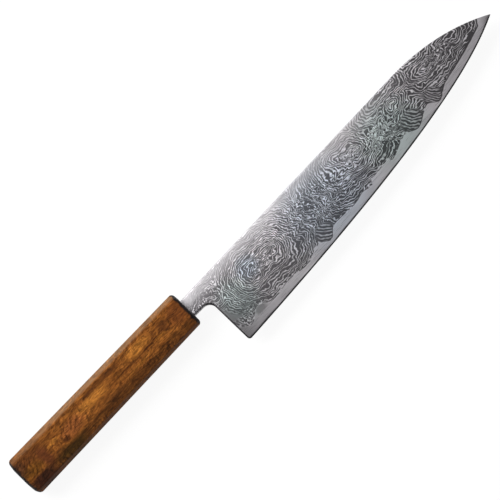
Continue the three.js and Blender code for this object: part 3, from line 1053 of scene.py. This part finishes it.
def oiled_wood():
    """Oiled hardwood with its fibres along the handle."""
    finish, tree, shader, at_mm = new_finish("oiled figured wood")
    at = from_front(tree, at_mm)
    streaky = warp(tree, at, STREAK_SIZES, STREAK_REACH, detail=2)
    mottle = noise(tree, streaky, MOTTLE_SIZES, detail=3)
    fibre = noise(tree, streaky, FIBRE_SIZES, detail=3)
    x, _, _ = split(tree, at)
    to_end = calc(tree, "MINIMUM", calc(tree, "MULTIPLY", x, -1), calc(tree, "ADD", x, HANDLE_LENGTH))
    base = scaled(tree, wood_figure(tree, streaky, mottle), grain_tone(tree, at, streaky, fibre))
    base = open_pores(tree, at, base)
    # Painted sheen on the upper facets
    base = paint_facet_sheen(tree, at, mottle, base)
    # Painted shade on the rounded end edges
    base = paint_end_shade(tree, at, to_end, base)
    base = end_grain(tree, at, to_end, base)
    tree.links.new(base, shader.inputs["Base Color"])
    tree.links.new(from_noise(tree, fibre, *FIBRE_ROUGHNESS), shader.inputs["Roughness"])
    shader.inputs["Specular IOR Level"].default_value = WOOD_SPECULAR
    shader.inputs["Sheen Weight"].default_value = WOOD_SHEEN
    relief(tree, shader, fibre, FIBRE_DEPTH)
    return finish


handle.data.materials.append(oiled_wood())
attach(handle, "root")
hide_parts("handle")

# Floor
# A plain white sheet under the knife. It shines white to the camera and in the steel, and keeps the
# knife's soft shadow.

FLOOR_HALF_SIZE = 4
FLECK_SIZES = (60, 60, 60)
PAPER_DARK = (0.12, 0.12, 0.12, 1)
PAPER_LIGHT = (0.14, 0.14, 0.14, 1)
PAPER_ROUGHNESS = 0.9
PAPER_SHINE = 0.91


def white_paper():
    """Paper with faint flecks, plain white where the camera or the steel looks at it."""
    finish, tree, shader, at_mm = new_finish("white paper")
    fleck = noise(tree, at_mm, FLECK_SIZES)
    tree.links.new(blend(tree, fleck, PAPER_DARK, PAPER_LIGHT), shader.inputs["Base Color"])
    rays = add(tree, "LightPath").outputs
    seen = calc(tree, "MAXIMUM", rays["Is Glossy Ray"], rays["Is Transmission Ray"])
    seen = calc(tree, "MAXIMUM", rays["Is Camera Ray"], seen)
    tree.links.new(calc(tree, "MULTIPLY", seen, PAPER_SHINE), shader.inputs["Emission Strength"])
    shader.inputs["Emission Color"].default_value = (1, 1, 1, 1)
    shader.inputs["Roughness"].default_value = PAPER_ROUGHNESS
    shader.inputs["Specular IOR Level"].default_value = 0
    return finish


bm = bmesh.new()
bmesh.ops.create_grid(bm, x_segments=1, y_segments=1, size=FLOOR_HALF_SIZE)
floor = finish_mesh(bm, "floor", crease_degrees=30)
floor.data.materials.append(white_paper())

# Light
# A large soft light on the spine's side and a strip over the handle, in a grey room that is brighter
# overhead and behind the spine, with some light from the edge's side and from beyond both ends.

# Light of the room along one direction: from, to, and the light at each
BEHIND_SPINE = (-0.3, 0.6, 0.05, 0.66)
OVERHEAD = (0.2, 0.75, 0.1, 1)
TOWARDS_TIP = (0, 0.5, 1, 0.45)
BEFORE_EDGE = (-0.4, -0.8, 0, 0.7)
BEYOND_ENDS = (0.6, 0.9, 0, 0.4)
ROOM_COLOUR = (1, 0.995, 1, 1)


def grey_room():
    """Surroundings whose light changes with the direction."""
    world = bpy.data.worlds.new("studio")
    world.use_nodes = True
    tree = world.node_tree
    x, y, z = split(tree, add(tree, "TexCoord").outputs["Generated"])
    level = calc(tree, "MULTIPLY", remap(tree, y, *BEHIND_SPINE), remap(tree, z, *OVERHEAD))
    level = calc(tree, "MULTIPLY", level, remap(tree, x, *TOWARDS_TIP))
    level = calc(tree, "ADD", level, remap(tree, y, *BEFORE_EDGE))
    level = calc(tree, "MAXIMUM", level, remap(tree, calc(tree, "ABSOLUTE", x), *BEYOND_ENDS))
    background = tree.nodes["Background"]
    background.inputs["Color"].default_value = ROOM_COLOUR
    tree.links.new(level, background.inputs["Strength"])
    return world


def soft_light(name, stands_at, aims_at, width, height, watts):
    """A rectangular light; places and sizes are in metres."""
    lamp = bpy.data.lights.new(name, "AREA")
    lamp.shape = "RECTANGLE"
    lamp.size = width
    lamp.size_y = height
    lamp.energy = watts
    holder = bpy.data.objects.new(name, lamp)
    holder.location = stands_at
    holder.rotation_euler = (Vector(aims_at) - Vector(stands_at)).to_track_quat("-Z", "Y").to_euler()
    bpy.context.collection.objects.link(holder)


scene = bpy.context.scene
scene.world = grey_room()
soft_light("spine_strip", stands_at=(-0.11, 0.22, 0.42), aims_at=(-0.11, 0.015, 0.01),
           width=0.46, height=0.12, watts=0.5)
soft_light("key_softbox", stands_at=(-0.6, 1.1, 1.05), aims_at=(0, 0.02, 0),
           width=1.2, height=1.0, watts=20)

# Camera
# Nearly straight above the blade's right face, leaning to the edge's side, with the tip up and to the
# right; far away behind a long lens.

LEAN = math.radians(13)
TURN = math.radians(46.32)
LENS = 250
SENSOR = 36
IMAGE_PIXELS = 500
MM_PER_PIXEL = 0.5981
VIEW_CENTRE = (51.2, -3.54)
CLIP_END = 20

along_knife = Vector((1, 0, 0))
across_knife = Vector((0, math.cos(LEAN), math.sin(LEAN)))
to_camera = along_knife.cross(across_knife)
right_way = along_knife * math.cos(TURN) - across_knife * math.sin(TURN)
up_way = along_knife * math.sin(TURN) + across_knife * math.cos(TURN)
distance = IMAGE_PIXELS * MM_PER_PIXEL * MM * LENS / SENSOR
stand = Matrix((right_way, up_way, to_camera)).transposed().to_4x4()
stand.translation = place(*VIEW_CENTRE, 0) + to_camera * distance
camera = bpy.data.objects.new("camera", bpy.data.cameras.new("camera"))
camera.data.lens = LENS
camera.data.sensor_width = SENSOR
camera.data.clip_end = CLIP_END
camera.matrix_world = stand
bpy.context.collection.objects.link(camera)
scene.camera = camera
scene.view_settings.view_transform = "Standard"
